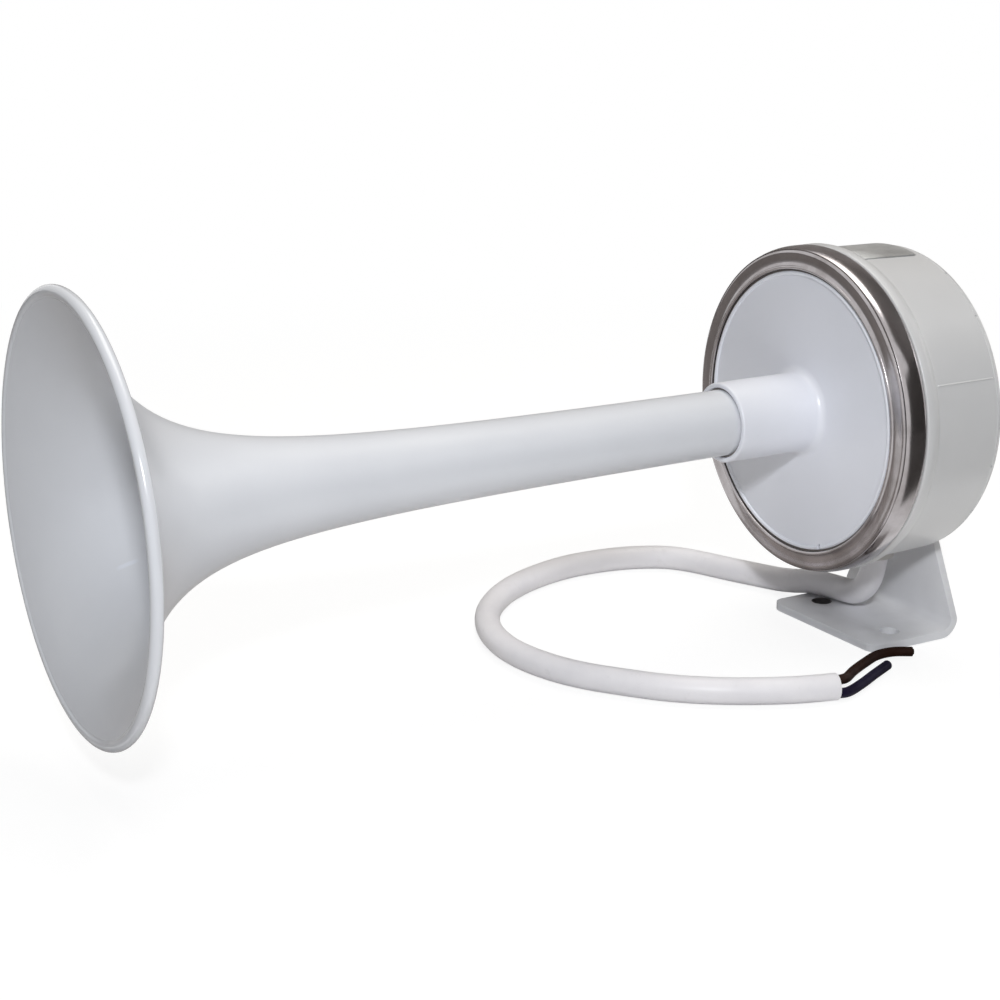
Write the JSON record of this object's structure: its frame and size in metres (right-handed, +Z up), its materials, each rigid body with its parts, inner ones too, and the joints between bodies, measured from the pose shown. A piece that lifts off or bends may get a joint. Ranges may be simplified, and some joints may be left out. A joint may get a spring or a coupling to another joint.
{
  "type": "electric horn",
  "caption": "Electric trumpet horn: a flared horn on a round drum with a steel clamping ring, on a bent foot bracket, with a loose cable.",
  "frame": {"origin": "midway between the two foot holes, on the underside of the foot bracket", "axes": "+Z up, the horn axis along Y with the bell mouth facing -Y, +X to the side where the bare cable ends lie"},
  "size_m": [0.178, 0.342, 0.1584],
  "materials": {
    "white_gloss": "gloss moulded plastic",
    "white_paint": "white enamel on steel sheet",
    "stainless": "polished stainless steel",
    "steel": "zinc plated steel",
    "dark_steel": "dark magnet steel",
    "spring_steel": "spring steel",
    "brass": "brass",
    "copper": "enamelled copper wire",
    "rubber": "black rubber",
    "grey_rubber": "grey rubber",
    "phenolic": "brown insulating board",
    "black_plastic": "black moulded plastic",
    "ivory_plastic": "ivory nylon",
    "blue_film": "blue dipped capacitor",
    "cable_white": "white flexible sheath",
    "brown_wire": "dark brown insulation",
    "blue_wire": "dark blue insulation"
  },
  "bodies": {
    "foot": {"bracket": "white_paint", "cable": "cable_white", "brown_core": "brown_wire", "blue_core": "blue_wire"},
    "drum": {"housing": "white_gloss", "clamp_ring": "stainless", "front_cover": "white_gloss", "trumpet": "white_gloss", "hub_seal": "rubber", "front_gasket": "rubber", "diaphragm": "spring_steel", "rear_gasket": "rubber", "base_plate": "steel", "base_screws": "steel", "magnet_cup": "dark_steel", "pole_core": "dark_steel", "coil_bobbin": "ivory_plastic", "coil_winding": "copper", "contact_block": "phenolic", "breaker_pin": "steel", "fixed_contact": "brass", "lock_nut": "steel", "capacitor": "blue_film", "terminal_block": "black_plastic", "terminal_screws": "brass", "inner_leads": "brown_wire", "rear_stud": "steel", "spacer": "rubber", "stud_washer": "stainless", "stud_nut": "stainless", "cable_grommet": "grey_rubber"},
    "armature_unit": {"armature": "dark_steel", "armature_nut": "brass", "striker": "phenolic"},
    "breaker": {"breaker_arm": "brass"},
    "adjuster": {"adjusting_screw": "steel"}
  },
  "joints": [
    {"name": "drum_swivel", "type": "hinge", "parent": "foot", "child": "drum", "pos_m": [0, 0.0225, 0.0875], "axis": [0, -1, 0], "range_deg": [-20, 20], "deforming": ["cable"]},
    {"name": "armature_pull", "type": "slide", "parent": "drum", "child": "armature_unit", "axis": [0, -1, 0], "range_m": [-0.0006, 0], "stiffness_N_per_m": 20000, "deforming": ["diaphragm"]},
    {"name": "breaker_hinge", "type": "hinge", "parent": "drum", "child": "breaker", "pos_m": [0.04362, -0.0188, 0.1021], "axis": [-0.3173, 0, 0.9483], "range_deg": [-1.2, 0.05]},
    {"name": "adjuster_turn", "type": "hinge", "parent": "drum", "child": "adjuster", "pos_m": [0.03731, 0.0155, 0.08944], "axis": [0, 1, 0], "range_deg": [-180, 180]}
  ],
  "couplings": [
    {"joint": "breaker_hinge", "follows": "armature_pull", "rad_per_m": 31.646}
  ]
}
